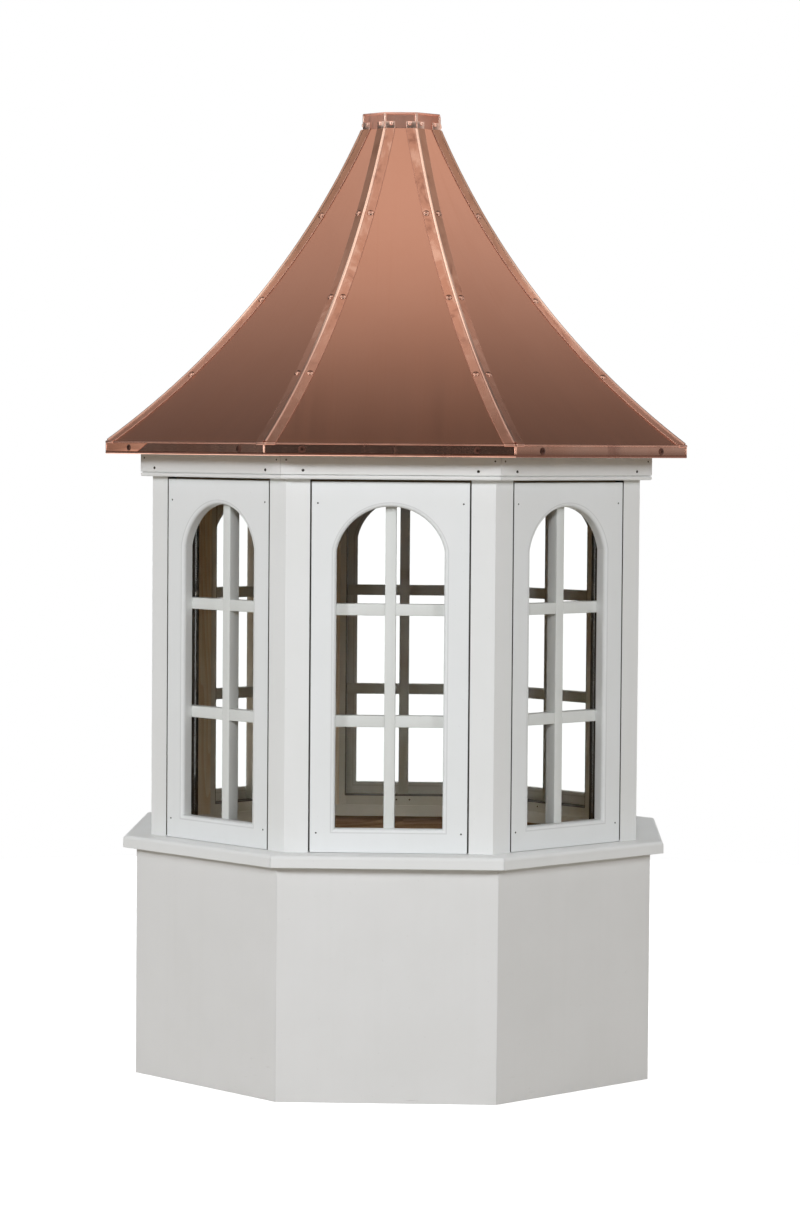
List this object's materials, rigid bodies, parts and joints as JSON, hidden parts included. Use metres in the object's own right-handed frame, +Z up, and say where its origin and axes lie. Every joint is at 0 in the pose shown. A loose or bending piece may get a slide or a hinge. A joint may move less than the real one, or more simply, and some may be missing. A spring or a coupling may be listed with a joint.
{
  "type": "barn cupola",
  "caption": "Eight-sided white roof cupola with arched windows all round and a bell-curved copper roof, set over a barn ridge for light and ornament.",
  "frame": {"origin": "centre of the skirt's foot, on the surface it stands on", "axes": "+Z up the cupola's axis, -Y out of the front side"},
  "size_m": [0.772, 0.772, 1.2948],
  "materials": {
    "white_board": "satin white cellular plastic board",
    "white_sash": "satin white cellular plastic board",
    "pine": "bare sawn pine",
    "plywood": "bare plywood",
    "clear_pane": "clear acrylic sheet",
    "copper_sheet": "satin copper sheet, lightly toned",
    "copper_hip": "handled copper with heat and finger stains",
    "copper_fascia": "satin copper, bright along its hem",
    "copper_cap": "red-brown toned copper"
  },
  "bodies": {
    "root": {"base_panel_front": "white_board", "base_panel_front_right": "white_board", "base_panel_right": "white_board", "base_panel_back_right": "white_board", "base_panel_back": "white_board", "base_panel_back_left": "white_board", "base_panel_left": "white_board", "base_panel_front_left": "white_board", "base_ring": "pine", "sill": "white_board", "corner_trim_1": "white_board", "corner_trim_2": "white_board", "corner_trim_3": "white_board", "corner_trim_4": "white_board", "corner_trim_5": "white_board", "corner_trim_6": "white_board", "corner_trim_7": "white_board", "corner_trim_8": "white_board", "corner_studs": "pine", "sash_front": "white_sash", "sash_front_right": "white_sash", "sash_right": "white_sash", "sash_back_right": "white_sash", "sash_back": "white_sash", "sash_back_left": "white_sash", "sash_left": "white_sash", "sash_front_left": "white_sash", "window_stops": "white_sash", "window_panes": "clear_pane", "top_plate": "pine", "cornice": "white_board", "roof_deck": "plywood", "roof_ribs": "pine", "crown_block": "pine", "roof_panel_front": "copper_sheet", "roof_panel_front_right": "copper_sheet", "roof_panel_right": "copper_sheet", "roof_panel_back_right": "copper_sheet", "roof_panel_back": "copper_sheet", "roof_panel_back_left": "copper_sheet", "roof_panel_left": "copper_sheet", "roof_panel_front_left": "copper_sheet", "hip_caps": "copper_hip", "eave_fascia": "copper_fascia", "roof_cap": "copper_cap"}
  },
  "joints": []
}
